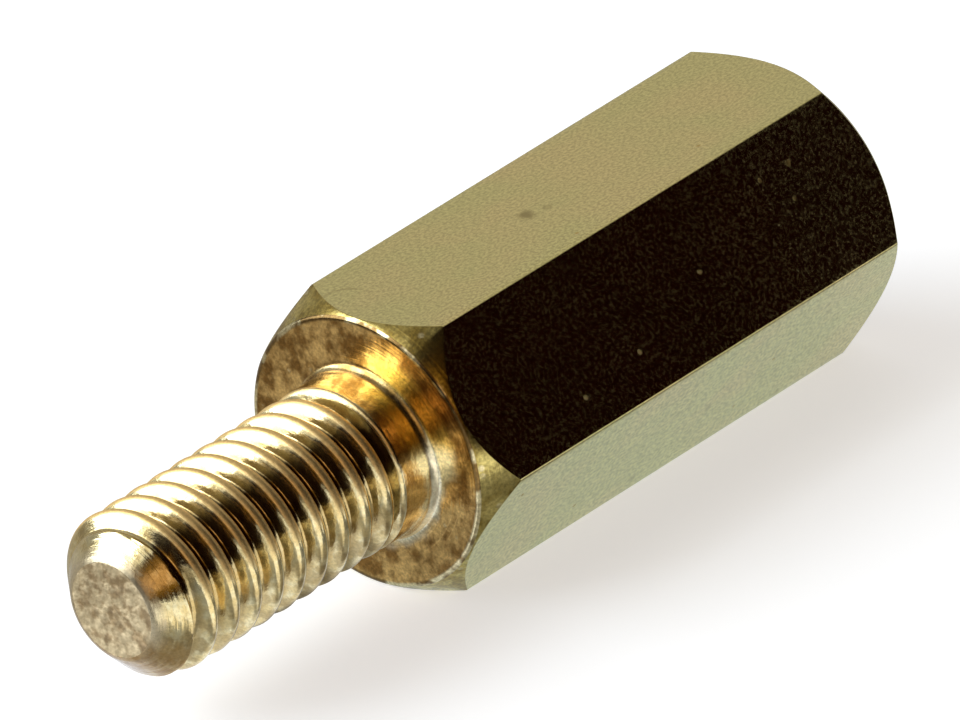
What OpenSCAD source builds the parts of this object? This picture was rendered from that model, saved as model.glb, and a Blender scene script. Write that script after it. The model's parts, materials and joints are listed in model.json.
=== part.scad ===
// Hex standoff, male to female, turned in one piece from hexagonal brass bar.
// It lies on one flat of the hexagon: the axis runs along X at half the width across flats,
// the threaded stud points towards -X and the tapped hole opens towards +X.
// The origin is the centre of the footprint. All sizes are in millimetres.

/* [Hex body] */
// Width across the flats of the hexagonal bar
across_flats = 4; // [3:0.1:6]
// Length of the hexagonal body, from the shoulder face to the end face
body_length = 8.8; // [7.5:0.1:30]

/* [Stud] */
// Length of the stud, from the shoulder face to its tip
stud_length = 5.2; // [2:0.1:12]
// Radial width of the chamfer at the tip of the stud
tip_chamfer = 0.49; // [0.3:0.01:0.8]
// Angle between the tip chamfer and the axis, in degrees
tip_chamfer_angle = 45; // [30:1:60]

/* [Thread] */
// Nominal diameter of both threads
thread_d = 2.5; // [2:0.5:3]
// Pitch of both threads
thread_pitch = 0.45; // [0.4:0.05:0.5]
// How far the stud's crests lie below the nominal diameter, measured on the diameter
stud_allowance = 0.08; // [0:0.01:0.15]

/* [Tapped hole] */
// Depth of the drilled hole, from the end face to the full-diameter bottom
drill_depth = 6; // [2:0.1:7.5]
// Included angle of the drill point, in degrees
drill_point_angle = 118; // [90:1:140]
// How much wider the countersink's mouth is than the nominal thread, measured on the diameter
countersink_margin = 0.2; // [0:0.05:0.8]
// Included angle of the countersink, in degrees
countersink_angle = 90; // [60:1:120]

/* [Corner chamfers] */
// Radial gap between the flats and the round shoulder face
shoulder_inset = 0.035; // [0.01:0.005:0.1]
// Angle between the shoulder chamfer and the shoulder face, in degrees
shoulder_chamfer_angle = 55; // [20:1:60]
// Radial gap between the flats and the round end face
end_inset = 0.08; // [0.01:0.005:0.1]
// Angle between the end chamfer and the end face, in degrees
end_chamfer_angle = 45; // [20:1:60]

/* [Hidden] */
$fn = 96;

// The hexagon
hex_sides = 6;
flat_r = across_flats / 2;
corner_r = flat_r / cos(180 / hex_sides);

// Places along the axis, with the whole length centred on the origin
total_length = stud_length + body_length;
tip_x = -total_length / 2;
shoulder_x = tip_x + stud_length;
end_x = total_length / 2;

// The turned envelope that chamfers the corners, a little wider than the corners themselves
envelope_margin = 0.2;
envelope_r = corner_r + envelope_margin;
shoulder_face_r = flat_r - shoulder_inset;
shoulder_chamfer_h = (envelope_r - shoulder_face_r) * tan(shoulder_chamfer_angle);
end_face_r = flat_r - end_inset;
end_chamfer_h = (envelope_r - end_face_r) * tan(end_chamfer_angle);

// The stud, drawn at its crest diameter, and how far it runs into the body
stud_r = (thread_d - stud_allowance) / 2;
tip_face_r = stud_r - tip_chamfer;
tip_chamfer_h = tip_chamfer / tan(tip_chamfer_angle);
stud_root = 0.5;

// The hole, drawn at its tapping diameter, and how far its cutter runs past the end face
hole_r = (thread_d - thread_pitch) / 2;
drill_point_h = hole_r / tan(drill_point_angle / 2);
countersink_r = (thread_d + countersink_margin) / 2;
countersink_h = (countersink_r - hole_r) / tan(countersink_angle / 2);
cutter_overrun = 0.2;

// Turns what is drawn along +Z so that it runs along +X, at the height of the part's axis
module along_axis(x) {
    translate([x, 0, flat_r]) rotate([0, 90, 0]) children();
}

// The hexagonal bar, one flat down
module hex_bar() {
    rotate([0, 0, 180 / hex_sides]) cylinder(r = corner_r, h = body_length, $fn = hex_sides);
}

// The round envelope that leaves a conical chamfer on the corners at each end of the bar
module corner_envelope() {
    rotate_extrude() polygon([
        [0, 0],
        [shoulder_face_r, 0],
        [envelope_r, shoulder_chamfer_h],
        [envelope_r, body_length - end_chamfer_h],
        [end_face_r, body_length],
        [0, body_length]
    ]);
}

// The stud with its chamfered tip; its root is inside the body
module stud() {
    rotate_extrude() polygon([
        [0, 0],
        [tip_face_r, 0],
        [stud_r, tip_chamfer_h],
        [stud_r, stud_length + stud_root],
        [0, stud_length + stud_root]
    ]);
}

// What the drill and the countersink remove, drawn from the drill point to past the end face
module tapped_hole() {
    rotate_extrude() polygon([
        [0, -drill_point_h],
        [hole_r, 0],
        [hole_r, drill_depth - countersink_h],
        [countersink_r, drill_depth],
        [countersink_r, drill_depth + cutter_overrun],
        [0, drill_depth + cutter_overrun]
    ]);
}

module standoff() {
    color([0.74, 0.66, 0.43]) difference() {
        union() {
            along_axis(shoulder_x) intersection() {
                hex_bar();
                corner_envelope();
            }
            along_axis(tip_x) stud();
        }
        along_axis(end_x - drill_depth) tapped_hole();
    }
}

standoff();
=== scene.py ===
"""A male to female hex standoff in brass, lying on one flat.

The CAD solid has plain cylinders where the threads are. Here one closed mesh stands for it, lofted round the
part's axis, with both threads as true helices and the small edge rounds that catch the light. Lengths are in
millimetres until the mesh is made. Angles round the axis start at the front, -Y, and go up over the top, +Z.
"""

import json
import math

import bmesh
import bpy
import numpy as np
from mathutils import Matrix, Vector, noise


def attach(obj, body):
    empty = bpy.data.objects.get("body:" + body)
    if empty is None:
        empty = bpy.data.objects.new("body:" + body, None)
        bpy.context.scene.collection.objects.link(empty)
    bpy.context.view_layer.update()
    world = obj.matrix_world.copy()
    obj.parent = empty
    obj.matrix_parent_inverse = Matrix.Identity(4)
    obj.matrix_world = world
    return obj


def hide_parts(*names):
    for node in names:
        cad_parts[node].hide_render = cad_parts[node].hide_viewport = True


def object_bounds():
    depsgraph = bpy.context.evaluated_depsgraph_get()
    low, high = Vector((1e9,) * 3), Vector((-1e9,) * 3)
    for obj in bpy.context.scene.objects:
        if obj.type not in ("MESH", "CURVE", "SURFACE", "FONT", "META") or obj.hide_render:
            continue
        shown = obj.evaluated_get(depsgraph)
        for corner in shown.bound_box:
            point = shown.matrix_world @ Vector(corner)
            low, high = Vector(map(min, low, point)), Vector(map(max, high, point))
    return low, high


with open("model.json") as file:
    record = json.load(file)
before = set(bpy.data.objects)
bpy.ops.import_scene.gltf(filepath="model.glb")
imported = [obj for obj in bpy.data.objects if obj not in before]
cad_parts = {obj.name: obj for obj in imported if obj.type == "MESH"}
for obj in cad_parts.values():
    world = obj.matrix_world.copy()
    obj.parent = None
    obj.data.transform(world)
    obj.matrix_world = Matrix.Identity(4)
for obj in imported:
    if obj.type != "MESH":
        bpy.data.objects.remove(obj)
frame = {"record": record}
cad_low, cad_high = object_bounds()

MM = 0.001
TAU = 2 * math.pi
HEX = TAU / 6
MOUNTS = {mount["name"]: mount for mount in frame["record"]["mounts"]}

# --- sizes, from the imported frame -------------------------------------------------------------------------

TIP_X, END_X = cad_low.x / MM, cad_high.x / MM
FLAT_R = (cad_high.z - cad_low.z) / MM / 2
AXIS_Z = cad_low.z / MM + FLAT_R
SHOULDER_X = MOUNTS["stud"]["pos_m"][0] / MM
STUD_R = MOUNTS["stud"]["dims"]["r_mm"]
TIP_CONE = SHOULDER_X - TIP_X - MOUNTS["stud"]["dims"]["length_mm"]
HOLE_R = MOUNTS["tapped_hole"]["dims"]["r_mm"]
SINK_X = MOUNTS["tapped_hole"]["pos_m"][0] / MM
BORE_END_X = SINK_X - MOUNTS["tapped_hole"]["dims"]["length_mm"]
SINK_R = HOLE_R + END_X - SINK_X

# --- sizes that only the looks need -----------------------------------------------------------------------

PITCH = 0.45

# The cones that turn off the hexagon's corners: radius of each end face, and steps along X for one outwards
SHOULDER_R = FLAT_R - 0.035
SHOULDER_SLOPE = math.tan(math.radians(55))
END_R = FLAT_R - 0.08
END_SLOPE = math.tan(math.radians(45))
DRILL_SLOPE = math.tan(math.radians(118 / 2))

# Edge rounds
CORNER_ROUND = 0.045
RIM_ROUND = 0.07
EDGE_ROUND = 0.02
END_ROUND = 0.03
NECK_FILLET = 0.12

# The stud: plain neck, run-out of the thread into it, and its last crest's distance from the shoulder, which
# is measured a twelfth of a turn up from the front
NECK = 0.60
RUN_OUT = 0.14
LAST_CREST = 0.48
TIP_ROUND = 0.035
TIP_BLEND = 0.03

# The sawn end's relief: its depth, rings, plain margins, fade at the edge, and the noise behind it
TIP_RELIEF = 0.018
TIP_RINGS = 18
TIP_MARGIN = 0.03
TIP_FADE = 0.1
TIP_NOISE_Z = 3.7
COARSE, FINE = 6, 17

# The tapped hole: length of its thread, and how far its first row of points lies inside the end face
HOLE_THREAD = 5.0
SINK_START = 0.04

# Mesh making: length of the strips that hold straight stretches flat, weld distance, sharp angle in degrees
HOLD = 0.02
WELD = 0.0002
SHARP = 38

# Depth and flats of the thread forms, as shares of the pitch
STUD_FORM = dict(depth=0.49, crest=0.24, root=0.194, crest_round=0.20, root_round=0.15, gap=0.09)
HOLE_FORM = dict(depth=0.5413, crest=0.25, root=0.125, crest_round=0.04, root_round=0.06, gap=0.15)

# Parts of the surface, each with a material of its own
SECTIONS = ["cut_tip", "thread", "shoulder", "turned", "drawn", "bore"]

# --- columns round the axis -------------------------------------------------------------------------------

CORNER_CENTRE = (FLAT_R - CORNER_ROUND) / math.cos(HEX / 2)
CORNER_HALF = HEX / 2 - math.atan((FLAT_R - CORNER_ROUND) * math.tan(HEX / 2) / FLAT_R)


def column_angles(even=144):
    """Even steps all round, and four more across each rounded corner of the hexagon."""
    steps = [TAU * i / even for i in range(even)]
    corners = [k * HEX + share * CORNER_HALF for k in range(6) for share in (-1, -0.5, 0.5, 1)]
    return np.array(sorted(angle % TAU for angle in steps + corners))


def hex_radius(phi):
    """Distance from the axis to the hexagon with rounded corners."""
    off = (phi + HEX / 2) % HEX - HEX / 2
    flat = FLAT_R / np.cos(HEX / 2 - np.abs(off))
    across = np.clip(CORNER_ROUND**2 - (CORNER_CENTRE * np.sin(off)) ** 2, 0, None)
    corner = CORNER_CENTRE * np.cos(off) + np.sqrt(across)
    return np.where(np.abs(off) < CORNER_HALF, corner, flat)


PHI = column_angles()
HEX_R = hex_radius(PHI)

# --- outlines ---------------------------------------------------------------------------------------------


def rounded(points, rounds, steps=3):
    """An open outline with arcs in place of its inner corners."""
    out = [points[0]]
    for i in range(1, len(points) - 1):
        corner = np.array(points[i], float)
        back = np.array(points[i - 1], float) - corner
        ahead = np.array(points[i + 1], float) - corner
        back, ahead = back / np.linalg.norm(back), ahead / np.linalg.norm(ahead)
        half = math.acos(np.clip(back @ ahead, -1, 1)) / 2
        if not rounds[i]:
            out.append(tuple(corner))
            continue
        centre = corner + (back + ahead) / np.linalg.norm(back + ahead) * rounds[i] / math.sin(half)
        start = corner + back * rounds[i] / math.tan(half) - centre
        stop = corner + ahead * rounds[i] / math.tan(half) - centre
        for k in range(steps + 1):
            spoke = start * (1 - k / steps) + stop * k / steps
            out.append(tuple(centre + spoke / np.linalg.norm(spoke) * rounds[i]))
    return out + [points[-1]]


def held(line, starts):
    """Two more points on some straight stretches, close to their ends, so that they shade as flat."""
    out = []
    for i, (a, b) in enumerate(zip(line, line[1:])):
        out.append(a)
        if i in starts:
            step = (np.array(b) - a) / np.linalg.norm(np.array(b) - a) * HOLD
            out += [tuple(a + step), tuple(b - step)]
    return out + [line[-1]]


def thread_form(depth, crest, root, crest_round, root_round, gap):
    """(place along the axis, depth below the crest) over one pitch from root to root, in pitches."""
    corners = [(-0.5, depth), (-0.5 + root / 2, depth), (-crest / 2, 0)]
    corners += [(-x, y) for x, y in reversed(corners)]
    line = rounded(corners, [0, root_round, crest_round, crest_round, root_round, 0])
    fine = [line[0]]
    for (x0, y0), (x1, y1) in zip(line, line[1:]):
        pieces = max(1, round(math.hypot(x1 - x0, y1 - y0) / gap))
        for k in range(1, pieces + 1):
            fine.append((x0 + (x1 - x0) * k / pieces, y0 + (y1 - y0) * k / pieces))
    return np.array(fine)


def smooth(x, low, high):
    """A smooth step from 0 at low to 1 at high."""
    t = np.clip((x - low) / (high - low), 0, 1)
    return t * t * (3 - 2 * t)


def soft_min(a, b, width):
    """The smaller of two values, blended where they are less than width apart."""
    blend = np.clip(0.5 + (b - a) / (2 * width), 0, 1)
    return b * (1 - blend) + a * blend - width * blend * (1 - blend)


# --- the loft ---------------------------------------------------------------------------------------------


class Loft:
    """A surface of rings round the axis. Every ring has one point in each column."""

    def __init__(self):
        self.points = []
        self.faces = []
        self.sections = []
        self.last = None

    def ring(self, x, r):
        """One new point in each column, at x along the axis and r from it."""
        first = len(self.points)
        x, r = np.broadcast_to(x, PHI.shape), np.broadcast_to(r, PHI.shape)
        self.points += list(zip(x, -r * np.cos(PHI), AXIS_Z + r * np.sin(PHI)))
        return list(range(first, first + len(PHI)))

    def face(self, corners, section):
        self.faces.append(corners)
        self.sections.append(SECTIONS.index(section))

    def join(self, a, b, section):
        """Faces between two rings, all the way round."""
        for c in range(len(PHI)):
            n = (c + 1) % len(PHI)
            self.face((a[c], a[n], b[n], b[c]), section)

    def add(self, x, r, section):
        """A new ring, joined to the last one."""
        new = self.ring(x, r)
        if self.last:
            self.join(self.last, new, section)
        self.last = new

    def helix(self, start, stop, crest_x, form, radius, section):
        """Rows that follow a right-hand thread from x = start to x = stop.

        A row falls by one pitch in a turn, so its last column meets the first of the row a pitch below.
        Rows are cut off square at both ends."""
        low, high = min(start, stop), max(start, stop)
        first = math.floor((low - crest_x) / PITCH) - 1
        last = math.ceil((high - crest_x) / PITCH) + 2
        rows = [crest_x + (k + offset) * PITCH for k in range(first, last) for offset in form[:-1, 0]]
        turn = len(form) - 1
        if start > stop:
            rows.reverse()
        else:
            turn = -turn
        snap = PITCH / 60
        rings = []
        for row in rows:
            x = row - PITCH * PHI / TAU
            x = np.where(x < low + snap, low, np.where(x > high - snap, high, x))
            rings.append(self.ring(x, radius(x, PHI)))
        self.join(self.last, rings[0], section)
        for i, (a, b) in enumerate(zip(rings, rings[1:])):
            for c in range(len(PHI) - 1):
                self.face((a[c], a[c + 1], b[c + 1], b[c]), section)
            meet_a = rings[min(max(i + turn, 0), len(rings) - 1)][0]
            meet_b = rings[min(max(i + 1 + turn, 0), len(rings) - 1)][0]
            self.face((a[-1], meet_a, meet_b, b[-1]), section)
        self.last = rings[-1]

    def close(self, x, section):
        """A point on the axis, joined to the last ring."""
        self.points.append((x, 0, AXIS_Z))
        for c in range(len(PHI)):
            self.face((self.last[c], self.last[(c + 1) % len(PHI)], len(self.points) - 1), section)


def threaded(form, crest_x, crest_r, sign, share):
    """radius(x, phi) of a thread: sign is -1 for one cut into a stud and 1 for one cut into a bore."""

    def radius(x, phi):
        place = (x - crest_x) / PITCH + phi / TAU
        place = place - np.round(place)
        depth = np.interp(place, form[:, 0], form[:, 1]) * PITCH
        return crest_r + sign * depth * share(x)

    return radius


def tip_face(loft):
    """The sawn end: a shallow random relief that sinks inwards only."""
    edge_r = STUD_R - TIP_CONE
    for r in np.linspace(TIP_MARGIN, edge_r - TIP_MARGIN, TIP_RINGS):
        heights = []
        for phi in PHI:
            at = Vector((r * math.cos(phi), r * math.sin(phi), TIP_NOISE_Z))
            heights.append(0.5 + 0.5 * noise.noise(at * COARSE) + 0.3 * noise.noise(at * FINE))
        sink = TIP_RELIEF * np.clip(heights, 0, 1) * smooth(edge_r - r, 0, TIP_FADE)
        loft.add(TIP_X + sink, r, "cut_tip")
    loft.add(TIP_X, edge_r - TIP_ROUND, "cut_tip")
    loft.add(TIP_X + TIP_ROUND * 0.3, edge_r - TIP_ROUND * 0.3, "thread")


def stud(loft):
    """Tip cone and thread, which runs out into the plain neck."""
    form = thread_form(**STUD_FORM)
    neck_x = SHOULDER_X - NECK
    crest_x = SHOULDER_X - LAST_CREST + PITCH / 12

    def fade(x):
        return 1 - smooth(x, neck_x - RUN_OUT, neck_x)

    cut = threaded(form, crest_x, STUD_R, -1, fade)

    def radius(x, phi):
        return soft_min(cut(x, phi), STUD_R - TIP_CONE + x - TIP_X, TIP_BLEND)

    loft.helix(TIP_X + TIP_ROUND, neck_x, crest_x, form, radius, "thread")


def body(loft):
    """Neck, shoulder, chamfers, flats and end face, from one outline for each column."""
    rounds = [0, NECK_FILLET, RIM_ROUND, EDGE_ROUND, EDGE_ROUND, END_ROUND, END_ROUND, 0]
    # Where the neck, the shoulder's face and the end face start in the rounded outline
    straight = (0, 4, 20)
    outlines = []
    for hex_r in HEX_R:
        outline = [
            (SHOULDER_X - NECK, STUD_R),
            (SHOULDER_X, STUD_R),
            (SHOULDER_X, SHOULDER_R),
            (SHOULDER_X + (hex_r - SHOULDER_R) * SHOULDER_SLOPE, hex_r),
            (END_X - (hex_r - END_R) * END_SLOPE, hex_r),
            (END_X, END_R),
            (END_X, SINK_R),
            (END_X - SINK_START, SINK_R - SINK_START),
        ]
        outlines.append(held(rounded(outline, rounds), straight))
    rings = np.array(outlines)
    # The section of each step along the outline
    kinds = ["thread"] * 6 + ["shoulder"] * 7 + ["turned"] * 4 + ["drawn"] * 4 + ["turned"] * 11
    for i in range(1, rings.shape[1]):
        loft.add(rings[:, i, 0], rings[:, i, 1], kinds[i])


def hole(loft):
    """The countersink cuts the first turn of the thread, which ends short of the drilled bottom."""
    form = thread_form(**HOLE_FORM)
    thread_end = SINK_X - HOLE_THREAD

    def fade(x):
        return smooth(x, thread_end, thread_end + PITCH)

    cut = threaded(form, SINK_X, HOLE_R, 1, fade)

    def radius(x, phi):
        return -soft_min(-cut(x, phi), END_X - SINK_R - x, TIP_BLEND)

    loft.helix(END_X - SINK_START, thread_end, SINK_X, form, radius, "bore")
    loft.add(BORE_END_X, HOLE_R, "bore")
    loft.close(BORE_END_X - HOLE_R / DRILL_SLOPE, "bore")


def loft_standoff():
    """The whole surface, from the middle of the sawn end to the bottom of the tapped hole."""
    loft = Loft()
    tip_face(loft)
    centre = len(loft.points)
    loft.points.append((TIP_X, 0, AXIS_Z))
    for c in range(len(PHI)):
        loft.face(((c + 1) % len(PHI), c, centre), "cut_tip")
    stud(loft)
    body(loft)
    hole(loft)
    return loft


def make_standoff():
    """The one piece. Every face knows its section, and its normals keep the flat faces flat."""
    loft = loft_standoff()
    mesh = bpy.data.meshes.new("standoff")
    mesh.from_pydata([Vector(p) * MM for p in loft.points], [], loft.faces)
    mesh.polygons.foreach_set("material_index", loft.sections)
    mesh.polygons.foreach_set("use_smooth", [True] * len(mesh.polygons))
    clean = bmesh.new()
    clean.from_mesh(mesh)
    bmesh.ops.remove_doubles(clean, verts=clean.verts, dist=WELD * MM)
    bmesh.ops.dissolve_degenerate(clean, edges=clean.edges, dist=WELD * MM)
    bmesh.ops.recalc_face_normals(clean, faces=clean.faces)
    clean.to_mesh(mesh)
    clean.free()
    mesh.set_sharp_from_angle(angle=math.radians(SHARP))
    obj = bpy.data.objects.new("brass_standoff", mesh)
    bpy.context.scene.collection.objects.link(obj)
    normals = obj.modifiers.new("flat_faces_stay_flat", "WEIGHTED_NORMAL")
    normals.keep_sharp = True
    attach(obj, "root")
    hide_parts("standoff")
    return obj


# --- materials --------------------------------------------------------------------------------------------

# Brass as (red, green, blue), from which each part of the surface starts
BRASS = (0.80, 0.655, 0.28)
CUT_BRASS = (0.82, 0.70, 0.40)


class Nodes:
    """A new metal material and short calls for its nodes."""

    def __init__(self, name, colour, roughness):
        self.material = bpy.data.materials.new(name)
        self.material.use_nodes = True
        self.tree = self.material.node_tree
        self.bsdf = self.tree.nodes["Principled BSDF"]
        self.bsdf.inputs["Metallic"].default_value = 1
        self.bsdf.inputs["Base Color"].default_value = (*colour, 1)
        self.bsdf.inputs["Roughness"].default_value = roughness
        place = self.add("ShaderNodeTexCoord").outputs["Object"]
        in_mm = self.add("ShaderNodeVectorMath", operation="SCALE")
        self.link(place, in_mm.inputs[0])
        in_mm.inputs["Scale"].default_value = 1 / MM
        self.at = in_mm.outputs[0]

    def add(self, kind, **settings):
        node = self.tree.nodes.new(kind)
        for name, value in settings.items():
            setattr(node, name, value)
        return node

    def link(self, value, socket):
        """Joins an output to a socket, or sets the socket to a constant."""
        if isinstance(value, bpy.types.NodeSocket):
            self.tree.links.new(value, socket)
        elif isinstance(value, tuple) and socket.type == "RGBA":
            socket.default_value = (*value, 1)
        else:
            socket.default_value = value

    def axes(self):
        """The place on the object as x, y and z in millimetres."""
        node = self.add("ShaderNodeSeparateXYZ")
        self.link(self.at, node.inputs[0])
        return node.outputs["X"], node.outputs["Y"], node.outputs["Z"]

    def math(self, operation, a, b=0.0, c=0.0):
        node = self.add("ShaderNodeMath", operation=operation)
        for value, socket in zip((a, b, c), node.inputs):
            self.link(value, socket)
        return node.outputs[0]

    def product(self, first, *others):
        for other in others:
            first = self.math("MULTIPLY", first, other)
        return first

    def total(self, first, *others):
        for other in others:
            first = self.math("ADD", first, other)
        return first

    def highest(self, first, *others):
        for other in others:
            first = self.math("MAXIMUM", first, other)
        return first

    def noise(self, scale, stretch=(1, 1, 1), detail=3.0, shift=0.0):
        """Noise from 0 to 1. scale is in turns to the millimetre, and shift picks another pattern."""
        mapping = self.add("ShaderNodeMapping")
        self.link(self.at, mapping.inputs["Vector"])
        mapping.inputs["Scale"].default_value = stretch
        mapping.inputs["Location"].default_value = (shift, shift, shift)
        node = self.add("ShaderNodeTexNoise")
        self.link(mapping.outputs[0], node.inputs["Vector"])
        node.inputs["Scale"].default_value = scale
        node.inputs["Detail"].default_value = detail
        return node.outputs["Fac"]

    def rings(self, radius, scale):
        """Noise that depends only on the distance from the axis, as a lathe leaves it."""
        node = self.add("ShaderNodeTexNoise", noise_dimensions="1D")
        self.link(radius, node.inputs["W"])
        node.inputs["Scale"].default_value = scale
        node.inputs["Detail"].default_value = 3
        return node.outputs["Fac"]

    def length(self, vector):
        node = self.add("ShaderNodeVectorMath", operation="LENGTH")
        self.link(vector, node.inputs[0])
        return node.outputs["Value"]

    def radius(self):
        """Distance from the part's axis in millimetres."""
        across = self.add("ShaderNodeVectorMath", operation="MULTIPLY_ADD")
        self.link(self.at, across.inputs[0])
        across.inputs[1].default_value = (0, 1, 1)
        across.inputs[2].default_value = (0, 0, -AXIS_Z)
        return self.length(across.outputs[0])

    def distance(self, place):
        """Distance from a place in millimetres."""
        node = self.add("ShaderNodeVectorMath", operation="DISTANCE")
        self.link(self.at, node.inputs[0])
        node.inputs[1].default_value = place
        return node.outputs["Value"]

    def specks(self, spacing, size, share, stretch=(1, 1, 1)):
        """1 on scattered spots up to size across, in that share of the places where one could be."""
        mapping = self.add("ShaderNodeMapping")
        self.link(self.at, mapping.inputs["Vector"])
        mapping.inputs["Scale"].default_value = stretch
        cells = self.add("ShaderNodeTexVoronoi")
        self.link(mapping.outputs[0], cells.inputs["Vector"])
        cells.inputs["Scale"].default_value = 1 / spacing
        chance = self.add("ShaderNodeSeparateColor")
        self.link(cells.outputs["Color"], chance.inputs[0])
        edge = size / spacing / 2
        spots = self.ramp(cells.outputs["Distance"], edge * 0.5, edge, 1, 0)
        return self.product(spots, self.math("LESS_THAN", chance.outputs[0], share))

    def spot(self, centre, size, strength=1.0):
        """A soft ragged spot on the top flat, at (x, y) with half-widths size."""
        offset = self.add("ShaderNodeVectorMath", operation="SUBTRACT")
        self.link(self.at, offset.inputs[0])
        offset.inputs[1].default_value = (*centre, cad_high.z / MM)
        scaled = self.add("ShaderNodeVectorMath", operation="DIVIDE")
        self.link(offset.outputs[0], scaled.inputs[0])
        scaled.inputs[1].default_value = (*size, size[0])
        ragged = self.total(self.length(scaled.outputs[0]), self.noise(9))
        return self.ramp(ragged, 0.75, 1.6, strength, 0)

    def dent(self, x, phi, size):
        """1 at a place on a flat, at an angle round the axis in degrees, falling to 0 at size millimetres."""
        turn = math.radians(phi)
        middle = round(phi / 60 - 0.5) * 60 + 30
        r = FLAT_R / math.cos(turn - math.radians(middle))
        place = (x, -r * math.cos(turn), AXIS_Z + r * math.sin(turn))
        return self.ramp(self.distance(place), size * 0.4, size, 1, 0)

    def shade(self, colour, factor):
        node = self.add("ShaderNodeVectorMath", operation="SCALE")
        self.link(colour, node.inputs[0])
        self.link(factor, node.inputs["Scale"])
        return node.outputs[0]

    def ramp(self, value, low, high, to_low=0.0, to_high=1.0):
        """A smooth step from to_low, where value is low, to to_high, where it is high."""
        node = self.add("ShaderNodeMapRange", interpolation_type="SMOOTHSTEP")
        self.link(value, node.inputs["Value"])
        self.link(low, node.inputs["From Min"])
        self.link(high, node.inputs["From Max"])
        self.link(to_low, node.inputs["To Min"])
        self.link(to_high, node.inputs["To Max"])
        return node.outputs[0]

    def mix(self, share, a, b):
        """a where share is 0 and b where it is 1."""
        node = self.add("ShaderNodeMix", data_type="RGBA")
        self.link(share, node.inputs["Factor"])
        self.link(a, node.inputs["A"])
        self.link(b, node.inputs["B"])
        return node.outputs["Result"]

    def bump(self, height, distance, before=None):
        """height is in millimetres times distance."""
        node = self.add("ShaderNodeBump")
        node.inputs["Distance"].default_value = distance * MM
        self.link(height, node.inputs["Height"])
        if before is not None:
            self.link(before, node.inputs["Normal"])
        return node.outputs[0]

    def finish(self, colour, roughness, normal):
        self.link(colour, self.bsdf.inputs["Base Color"])
        self.link(roughness, self.bsdf.inputs["Roughness"])
        self.link(normal, self.bsdf.inputs["Normal"])
        return self.material


# Nicks and faint spots on the flats: place along the axis, angle round it in degrees, size
NICKS = [
    (5.50, 46, 0.07),
    (4.90, 46, 0.05),
    (5.32, 33.5, 0.05),
    (3.19, 28.6, 0.05),
    (1.59, 15, 0.05),
    (0.37, 11.6, 0.05),
]
FAINT_SPOTS = [
    (5.50, -18, 0.09),
    (5.39, -12.5, 0.08),
    (2.00, -54, 0.10),
    (3.27, -36, 0.09),
    (5.13, -57.5, 0.09),
]
FAINT = 0.4

# Two tarnish spots on the top flat: place, half-widths, strength
DARK_SPOTS = [((1.74, -0.03), (0.16, 0.15), 1.0), ((2.06, -0.13), (0.10, 0.10), 0.45)]

# The curved scratch on the top flat follows a circle, and is deepest near one place on it
SCRATCH_CENTRE = (-1.45, 0.42, 4.0)
SCRATCH_R = 0.36
SCRATCH_END = (-1.3, 0.75, 4.0)

WARM_FLAT = (0.82, 0.655, 0.285)
GREEN_FLAT = (0.765, 0.66, 0.275)
TARNISH = (0.44, 0.34, 0.13)
NICK_METAL = (0.62, 0.42, 0.12)
HAZE_X = (2.5, 6.5)
HAZE = 0.04


def scratch_share(n, lines):
    """1 on the curved scratch, wavering with the grain."""
    across = n.math("ABSOLUTE", n.math("SUBTRACT", n.distance(SCRATCH_CENTRE), SCRATCH_R))
    line = n.ramp(n.total(across, n.product(lines, 0.06)), 0.03, 0.07, 1, 0)
    return n.product(line, n.ramp(n.distance(SCRATCH_END), 0.2, 0.5, 1, 0.1))


def tarnish_share(n, scratch):
    """1 on the dark spots, less on the faint ones and in the scratch."""
    spots = n.highest(*[n.spot(*spot) for spot in DARK_SPOTS])
    for spot in FAINT_SPOTS:
        spots = n.highest(spots, n.product(n.dent(*spot), FAINT))
    return n.highest(spots, n.product(scratch, 0.5))


def drawn_brass():
    """The flats: fine grain along the bar, nicks, tarnish spots and a curved scratch on the top flat."""
    n = Nodes("drawn_brass", BRASS, 0.2)
    fine = n.noise(26, (0.7, 1, 1), 2)
    lines = n.noise(7, (0.12, 1, 1), 4)
    patches = n.noise(0.8, (0.7, 1, 1), 3)
    nicks = n.highest(n.specks(0.42, 0.07, 0.22, (0.75, 1, 1)), *[n.dent(*nick) for nick in NICKS])
    colour = n.mix(n.ramp(patches, 0.35, 0.65), WARM_FLAT, GREEN_FLAT)
    colour = n.shade(colour, n.ramp(fine, 0.3, 0.7, 0.80, 1.16))
    colour = n.mix(tarnish_share(n, scratch_share(n, lines)), colour, TARNISH)
    colour = n.mix(n.product(nicks, 0.7), colour, NICK_METAL)
    x, _, _ = n.axes()
    sheen = n.ramp(n.noise(20, detail=4, shift=2.0), 0.3, 0.7, 0.06, 0.25)
    roughness = n.total(sheen, n.ramp(x, *HAZE_X, 0, HAZE), n.product(nicks, 0.2))
    relief = n.total(fine, n.product(lines, 1.5))
    normal = n.bump(nicks, -0.003, n.bump(relief, 0.0005))
    return n.finish(colour, roughness, normal)


SHOULDER_LIGHT = (0.84, 0.55, 0.20)
SHOULDER_DARK = (0.27, 0.14, 0.035)
# Painted highlight on the shoulder's front: its radius, and its gold colour and its pale colour low down
SHOULDER_HIGHLIGHT_R = 1.65
FRONT_HIGHLIGHT_GOLD = (0.76, 0.52, 0.13)
FRONT_HIGHLIGHT_PALE = (0.90, 0.81, 0.55)
RIM_STAIN = (0.20, 0.12, 0.04)
END_LIGHT = (0.66, 0.52, 0.17)
END_DARK = (0.36, 0.25, 0.06)


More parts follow.
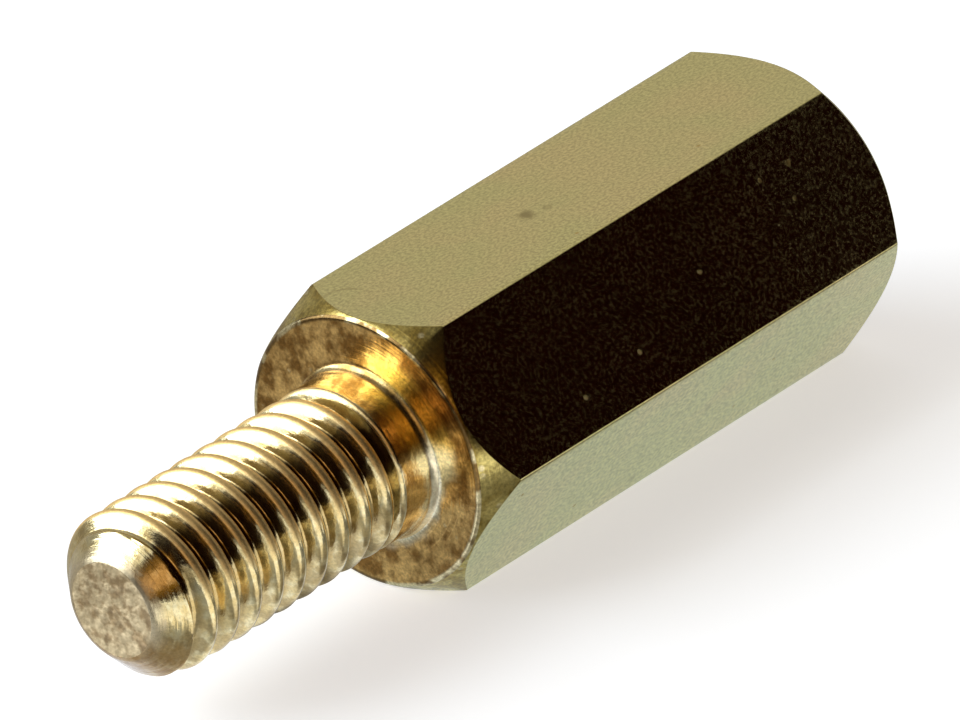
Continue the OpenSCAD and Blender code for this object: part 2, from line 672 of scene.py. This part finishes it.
def front_highlight_and_worn_rim(n, colour, radius, mottle, within):
    """Painted highlight: lighter metal inside a radius at the front, pale low down; and a rim worn in places.
    """
    _, y, z = n.axes()
    ragged = n.total(radius, n.product(mottle, 0.3), n.ramp(z, 2.2, 1.8, 0, 0.25))
    # Painted highlight: lighter on the front only, inside the ragged radius
    inside = n.product(n.ramp(ragged, within + 0.2, within), n.ramp(y, 0, -0.6))
    colour = n.mix(inside, colour, n.mix(n.ramp(z, 2.3, 2.6), FRONT_HIGHLIGHT_PALE, FRONT_HIGHLIGHT_GOLD))
    worn = n.mix(n.ramp(n.noise(2.2, shift=3.0), 0.45, 0.56), RIM_STAIN, CUT_BRASS)
    return n.mix(n.ramp(radius, SHOULDER_R - 0.07, SHOULDER_R - 0.03), colour, worn)


def turned(name, light, dark, rough, ring_depth, highlight_within=None):
    """A lathe-turned face: rings round the axis under a darker mottled colour, with pale specks."""
    n = Nodes(name, light, rough)
    radius = n.radius()
    mottle = n.noise(3.6, detail=5)
    fine = n.noise(22)
    colour = n.mix(n.ramp(mottle, 0.36, 0.64), dark, light)
    pale = n.product(n.specks(0.16, 0.12, 0.3), n.ramp(n.noise(2, shift=5.0), 0.42, 0.58, 0, 0.7))
    colour = n.mix(pale, colour, CUT_BRASS)
    if highlight_within:
        colour = front_highlight_and_worn_rim(n, colour, radius, mottle, highlight_within)
    colour = n.shade(colour, n.ramp(fine, 0.3, 0.7, 0.75, 1.2))
    roughness = n.ramp(mottle, 0.3, 0.7, rough * 1.2, rough * 0.8)
    normal = n.bump(fine, 0.0007, n.bump(n.rings(radius, 22), ring_depth))
    return n.finish(colour, roughness, normal)


def shoulder_brass():
    return turned("shoulder_brass", SHOULDER_LIGHT, SHOULDER_DARK, 0.22, 0.003, SHOULDER_HIGHLIGHT_R)


def turned_brass():
    return turned("turned_brass", END_LIGHT, END_DARK, 0.2, 0.002)


# Where the stud's surface changes, as smooth steps along X
CONE_X = (TIP_X + 0.55, TIP_X + 0.40)
TORN_X = (TIP_X + 0.30, TIP_X + 0.15)
CRESTS_X = (SHOULDER_X - 0.55, SHOULDER_X - 0.70)
NECK_X = (SHOULDER_X - 0.65, SHOULDER_X - 0.50)
FILLET_X = (SHOULDER_X - 0.14, SHOULDER_X - 0.06)

# The same along Z
UPPER_CREST_Z = (2.1, 2.5)
UNDERSIDE_Z = (2.2, 1.7)
UPPER_FILLET_Z = (2.2, 2.6)
LOWER_NECK_Z = (2.6, 2.2)
LOWEST_NECK_Z = (1.7, 1.1)
LOW_TIP_Z = (1.95, 1.45)

FLANK = (0.72, 0.56, 0.26)
ROOT_DARK = (0.42, 0.26, 0.08)
# Painted shade on the stud's underside, mottled
UNDERSIDE_SHADE = (0.44, 0.32, 0.14)
# A warm painted reflection on the upper crests
PAINTED_CREST_WARMTH = (0.96, 0.66, 0.27)
# Painted shade in the fillet's crease, upper side
FILLET_SHADE = (0.40, 0.24, 0.06)
# A painted highlight low on the neck: paler metal, and less pale at the very bottom
NECK_PAINTED_HIGHLIGHT = (0.95, 0.83, 0.56)
NECK_LOWEST_HIGHLIGHT = (0.80, 0.60, 0.30)
TORN_METAL = (0.66, 0.54, 0.34)
# Painted shade under the tip cone
LOW_TIP_SHADE = (0.27, 0.155, 0.045)


def thread_colour(n, radius, mottle, cone, crest, torn):
    """Darker roots; painted shade under the stud and cone, on the fillet; painted reflections on crests,
    neck.
    """
    x, _, z = n.axes()
    # Darker in the roots, at half strength, and not on the tip cone
    root = n.ramp(radius, STUD_R - 0.09, STUD_R - 0.17)
    root = n.product(root, n.math("SUBTRACT", 0.5, n.product(cone, 0.5)))
    # Painted shade on the stud's underside, broken up by noise
    underside_shade = n.product(n.ramp(z, *UNDERSIDE_Z), n.ramp(n.noise(4, (1.5, 1, 1), 5, shift=1.5), 0.42, 0.56))
    broken = n.ramp(n.noise(2.5, shift=2.5), 0.4, 0.6, 0.95, 0.4)
    # Painted shade in the fillet on its upper side, broken up by noise
    fillet = n.product(n.ramp(x, *FILLET_X), broken, n.ramp(z, *UPPER_FILLET_Z))
    # A painted highlight: paler metal low on the neck
    neck_highlight = n.product(n.ramp(x, *NECK_X), n.ramp(z, *LOWER_NECK_Z))
    # Painted shade under the tip cone, mottled
    low_tip_shade = n.product(n.ramp(z, *LOW_TIP_Z), cone, n.ramp(mottle, 0.3, 0.6, 1, 0.75))
    colour = n.mix(n.ramp(mottle, 0.4, 0.65), FLANK, CUT_BRASS)
    colour = n.mix(root, colour, ROOT_DARK)
    colour = n.mix(n.product(underside_shade, 0.75), colour, UNDERSIDE_SHADE)
    colour = n.mix(crest, colour, PAINTED_CREST_WARMTH)
    colour = n.mix(fillet, colour, FILLET_SHADE)
    colour = n.mix(neck_highlight, colour, n.mix(n.ramp(z, *LOWEST_NECK_Z), NECK_PAINTED_HIGHLIGHT, NECK_LOWEST_HIGHLIGHT))
    colour = n.mix(torn, colour, TORN_METAL)
    return n.mix(low_tip_shade, colour, LOW_TIP_SHADE)


def thread_brass():
    """The tip cone, thread, neck and fillet: bright flanks, with rougher crests on the upper side."""
    n = Nodes("thread_brass", BRASS, 0.2)
    radius = n.radius()
    mottle = n.noise(5, (2.2, 1, 1), 4)
    fine = n.noise(24, detail=2)
    x, _, z = n.axes()
    cone = n.ramp(x, *CONE_X)
    # The upper crests: rougher, with a warm painted reflection in their colour
    crest = n.ramp(radius, STUD_R - 0.06, STUD_R - 0.01)
    crest = n.product(crest, n.ramp(x, *CRESTS_X), n.ramp(z, *UPPER_CREST_Z))
    torn = n.ramp(n.total(x, n.product(mottle, 0.25)), *TORN_X)
    colour = thread_colour(n, radius, mottle, cone, crest, torn)
    colour = n.shade(colour, n.ramp(fine, 0.3, 0.7, 0.9, 1.1))
    roughness = n.total(
        n.ramp(mottle, 0.3, 0.7, 0.18, 0.12),
        n.product(crest, 0.34),
        n.ramp(x, *FILLET_X, 0, 0.1),
        n.product(torn, 0.15),
    )
    normal = n.bump(fine, 0.0004, n.bump(mottle, 0.006))
    normal = n.bump(n.product(n.rings(radius, 26), cone), 0.004, normal)
    return n.finish(colour, roughness, normal)


PIT = (0.42, 0.295, 0.15)
TORN_FACE = (0.70, 0.55, 0.315)
BORE_DARK = (0.60, 0.44, 0.16)
BORE_LIGHT = (0.78, 0.62, 0.26)


def cut_brass():
    """The cropped end: torn, uneven metal with dark pits."""
    n = Nodes("cut_brass", TORN_METAL, 0.4)
    torn = n.noise(9, detail=6)
    pits = n.noise(5, detail=4, shift=3.1)
    colour = n.mix(n.ramp(pits, 0.36, 0.55), PIT, TORN_FACE)
    colour = n.shade(colour, n.ramp(torn, 0.3, 0.7, 0.75, 1.2))
    return n.finish(colour, n.ramp(torn, 0.3, 0.7, 0.5, 0.28), n.bump(torn, 0.02))


def bored_brass():
    """The tapped hole, mottled and a little duller than the stud."""
    n = Nodes("bored_brass", BRASS, 0.25)
    mottle = n.noise(5, (2.2, 1, 1), 4)
    colour = n.mix(n.ramp(mottle, 0.4, 0.65), BORE_DARK, BORE_LIGHT)
    return n.finish(colour, n.ramp(mottle, 0.3, 0.7, 0.32, 0.2), n.bump(mottle, 0.008))


# --- floor ------------------------------------------------------------------------------------------------

FLOOR_HALF = 2.0
ORIGIN = (0, 0, 0)

# To the camera: a pale floor, lifted to white by a glow of its own
FLOOR = (0.78, 0.80, 0.81)
FLOOR_LIFT = (0.60, 0.58, 0.57)

# To mirrored rays: painted shade, a darker floor, under painted patches of glow, none of them brighter than
# white
FLOOR_DIM = (0.50, 0.51, 0.50)
BLACK = (0.0, 0.0, 0.0)
UNDER_BODY = (0.42, 0.50, 0.57)
UNDER_STUD = (0.81, 0.87, 1.00)
BESIDE_STUD = (0.16, 0.16, 0.16)
BEHIND = (0.09, 0.06, 0.03)
POOL = (0.75, 0.78, 0.82)
HEART = (1.00, 1.00, 1.00)
HEART_CENTRE = (-8.5, -6.8, 0.0)


def mirrored_floor_shade(n, x, y):
    """Painted shade for mirrored rays: how much floor is left, less far out left and in a gap before the
    stud.
    """
    far_left = n.product(n.ramp(x, -7.0, -18.0), n.ramp(y, -9.0, -6.0))
    gap = n.product(n.ramp(x, -5.4, -4.4), n.ramp(x, -0.4, -1.6), n.ramp(y, -3.5, -5.0))
    return n.ramp(n.highest(far_left, gap), 0, 1, 1, 0.35)


def glow_under_part(n, x, y):
    """Painted glow below body and stud; painted shade in front of them, nearly black behind and further out.
    """
    below_body = n.mix(n.ramp(y, -3.0, -2.2), BLACK, UNDER_BODY)
    below_stud = n.mix(n.ramp(y, -1.80, -1.25), BESIDE_STUD, UNDER_STUD)
    beyond = n.product(n.ramp(y, -1.2, -0.2), n.ramp(y, 1.1, 0.6), n.ramp(x, -5.4, -4.0))
    below_stud = n.shade(below_stud, n.ramp(beyond, 0, 1, 1, 0.12))
    below_tip = n.product(n.ramp(y, 0.6, -0.4), n.ramp(x, -6.1, -7.1))
    below_stud = n.shade(below_stud, n.ramp(below_tip, 0, 1, 1, 0.4))
    under = n.mix(n.ramp(x, -3.0, -1.0), below_stud, below_body)
    outside = n.highest(n.ramp(y, 1.5, 4.0), n.ramp(n.distance(ORIGIN), 18, 32))
    return n.mix(outside, under, BEHIND)


def pool_share(n, x, y):
    """1 in two painted pools of light: in front of the stud, cut off on a slant, and in front of the body."""
    slant = n.math("MULTIPLY_ADD", x, 0.28, n.product(y, -1))
    left = n.product(n.ramp(slant, 0.3, 1.1), n.ramp(x, -4.4, -5.4), n.ramp(n.distance(ORIGIN), 60, 90, 1, 0))
    right = n.product(n.ramp(y, -6.2, -7.8), n.ramp(x, -1.6, -0.4), n.ramp(n.distance(ORIGIN), 24, 30, 1, 0))
    return n.highest(left, right)


def floor_material():
    n = Nodes("pale_floor", FLOOR, 1)
    n.bsdf.inputs["Metallic"].default_value = 0
    n.bsdf.inputs["Specular IOR Level"].default_value = 0
    path = n.add("ShaderNodeLightPath")
    mirrored = n.highest(path.outputs["Is Glossy Ray"], path.outputs["Is Transmission Ray"])
    x, y, _ = n.axes()
    n.link(n.mix(mirrored, FLOOR, n.shade(FLOOR_DIM, mirrored_floor_shade(n, x, y))), n.bsdf.inputs["Base Color"])
    pool = n.mix(n.ramp(n.distance(HEART_CENTRE), 4.0, 6.5), HEART, POOL)
    glow = n.mix(pool_share(n, x, y), glow_under_part(n, x, y), pool)
    n.link(n.mix(mirrored, FLOOR_LIFT, glow), n.bsdf.inputs["Emission Color"])
    seen = n.highest(mirrored, path.outputs["Is Camera Ray"])
    n.link(seen, n.bsdf.inputs["Emission Strength"])
    return n.material


def make_floor():
    """White to the camera apart from the shadow.

    The metal doesn't mirror that white floor. It mirrors dark and pale patches placed round the part for the
    main view, so the balance of dark and bright flats belongs to this stage and not to the brass."""
    half = FLOOR_HALF
    corners = [(-half, -half, 0), (half, -half, 0), (half, half, 0), (-half, half, 0)]
    mesh = bpy.data.meshes.new("floor")
    mesh.from_pydata(corners, [], [(0, 1, 2, 3)])
    obj = bpy.data.objects.new("floor", mesh)
    bpy.context.scene.collection.objects.link(obj)
    obj.location.z = cad_low.z
    mesh.materials.append(floor_material())


# --- light ------------------------------------------------------------------------------------------------

# The room is dim all round. Zones in it: azimuth and elevation of the centre, inner and outer angle, colour.
# Each covers those above it, and like the floor's patches they are placed for what the part mirrors.
ROOM = (0.48, 0.475, 0.45)
DIM_ROOM = (0.34, 0.335, 0.31)
DARK_CARD = (0.006, 0.0012, 0.0006)
ROOM_ZONES = [
    (-95, 20, 55, 75, DARK_CARD),
    (-150, 15, 35, 55, DARK_CARD),
    (-147, 26, 12, 28, (0.20, 0.105, 0.015)),
    (-147, 26, 6, 15, (0.78, 0.50, 0.27)),
    (157, 42, 16, 27, (1.0, 0.97, 0.90)),
]
WHITE = (1.0, 1.0, 1.0)


def direction(azimuth, elevation):
    """Unit vector at an azimuth from +X towards +Y and an elevation, in degrees."""
    a, e = math.radians(azimuth), math.radians(elevation)
    return Vector((math.cos(a) * math.cos(e), math.sin(a) * math.cos(e), math.sin(e)))


def softbox(name, azimuth, elevation, width, height, radiance, colour):
    """An area lamp one metre away. radiance is what a mirror shows of it."""
    lamp = bpy.data.lights.new(name, "AREA")
    lamp.shape = "RECTANGLE"
    lamp.size, lamp.size_y = width, height
    lamp.energy = radiance * width * height * math.pi
    lamp.color = colour
    obj = bpy.data.objects.new(name, lamp)
    bpy.context.scene.collection.objects.link(obj)
    obj.location = direction(azimuth, elevation)
    obj.rotation_mode = "QUATERNION"
    obj.rotation_quaternion = (-obj.location).to_track_quat("-Z", "Y")
    obj.visible_camera = False


def make_world():
    """White to the camera. The part sees a dim room with dark, warm and pale zones."""
    world = bpy.data.worlds.new("studio")
    bpy.context.scene.world = world
    world.use_nodes = True
    tree = world.node_tree
    tree.nodes.clear()
    link = tree.links.new
    place = tree.nodes.new("ShaderNodeTexCoord").outputs["Generated"]

    def near(towards, inner, outer):
        """1 within inner degrees of a direction, 0 past outer degrees."""
        dot = tree.nodes.new("ShaderNodeVectorMath")
        dot.operation = "DOT_PRODUCT"
        link(place, dot.inputs[0])
        dot.inputs[1].default_value = towards
        node = tree.nodes.new("ShaderNodeMapRange")
        node.interpolation_type = "SMOOTHSTEP"
        link(dot.outputs["Value"], node.inputs["Value"])
        node.inputs["From Min"].default_value = math.cos(math.radians(outer))
        node.inputs["From Max"].default_value = math.cos(math.radians(inner))
        return node.outputs[0]

    def mix(share, a, b):
        node = tree.nodes.new("ShaderNodeMix")
        node.data_type = "RGBA"
        link(share, node.inputs["Factor"])
        for value, socket in ((a, node.inputs["A"]), (b, node.inputs["B"])):
            if isinstance(value, tuple):
                socket.default_value = (*value, 1)
            else:
                link(value, socket)
        return node.outputs["Result"]

    room = mix(near(direction(42, 28), 30, 50), DIM_ROOM, ROOM)
    for azimuth, elevation, inner, outer, colour in ROOM_ZONES:
        room = mix(near(direction(azimuth, elevation), inner, outer), room, colour)
    path = tree.nodes.new("ShaderNodeLightPath")
    sky = tree.nodes.new("ShaderNodeBackground")
    link(mix(path.outputs["Is Camera Ray"], room, WHITE), sky.inputs["Color"])
    link(sky.outputs[0], tree.nodes.new("ShaderNodeOutputWorld").inputs["Surface"])


# --- camera -----------------------------------------------------------------------------------------------

CAMERA_AZIMUTH = -47.478
CAMERA_ELEVATION = 27.589
CAMERA_ROLL = -5.075
CAMERA_DISTANCE = 321.43
CAMERA_AIM = (0.603, 0.0, 2.302)
CAMERA_LENS = 899.3
SENSOR_WIDTH = 36
CLIP_FROM, CLIP_TO = 0.01, 10


def make_camera():
    """A long lens, turned about the upright and tilted down, then rolled about its own line of sight."""
    data = bpy.data.cameras.new("camera")
    data.sensor_width = SENSOR_WIDTH
    data.lens = CAMERA_LENS
    data.clip_start, data.clip_end = CLIP_FROM, CLIP_TO
    obj = bpy.data.objects.new("camera", data)
    bpy.context.scene.collection.objects.link(obj)
    turn, roll = math.radians(CAMERA_AZIMUTH), math.radians(CAMERA_ROLL)
    tilt = math.radians(CAMERA_ELEVATION)
    back = Vector((math.sin(turn) * math.cos(tilt), -math.cos(turn) * math.cos(tilt), math.sin(tilt)))
    right = Vector((math.cos(turn), math.sin(turn), 0))
    up = back.cross(right)
    level = right * math.cos(roll) + up * math.sin(roll)
    upright = up * math.cos(roll) - right * math.sin(roll)
    pose = Matrix((level, upright, back)).transposed().to_4x4()
    pose.translation = (Vector(CAMERA_AIM) + back * CAMERA_DISTANCE) * MM
    obj.matrix_world = pose
    bpy.context.scene.camera = obj


# --- the scene --------------------------------------------------------------------------------------------

WINDOW = dict(azimuth=133, elevation=31, width=0.95, height=0.88, radiance=3.8, colour=(0.90, 1.0, 1.12))

bpy.context.scene.view_settings.view_transform = "Standard"
make_floor()
softbox("window", **WINDOW)
make_world()
make_camera()
standoff = make_standoff()
# One material for each of SECTIONS, in the same order
for make in (cut_brass, thread_brass, shoulder_brass, turned_brass, drawn_brass, bored_brass):
    standoff.data.materials.append(make())
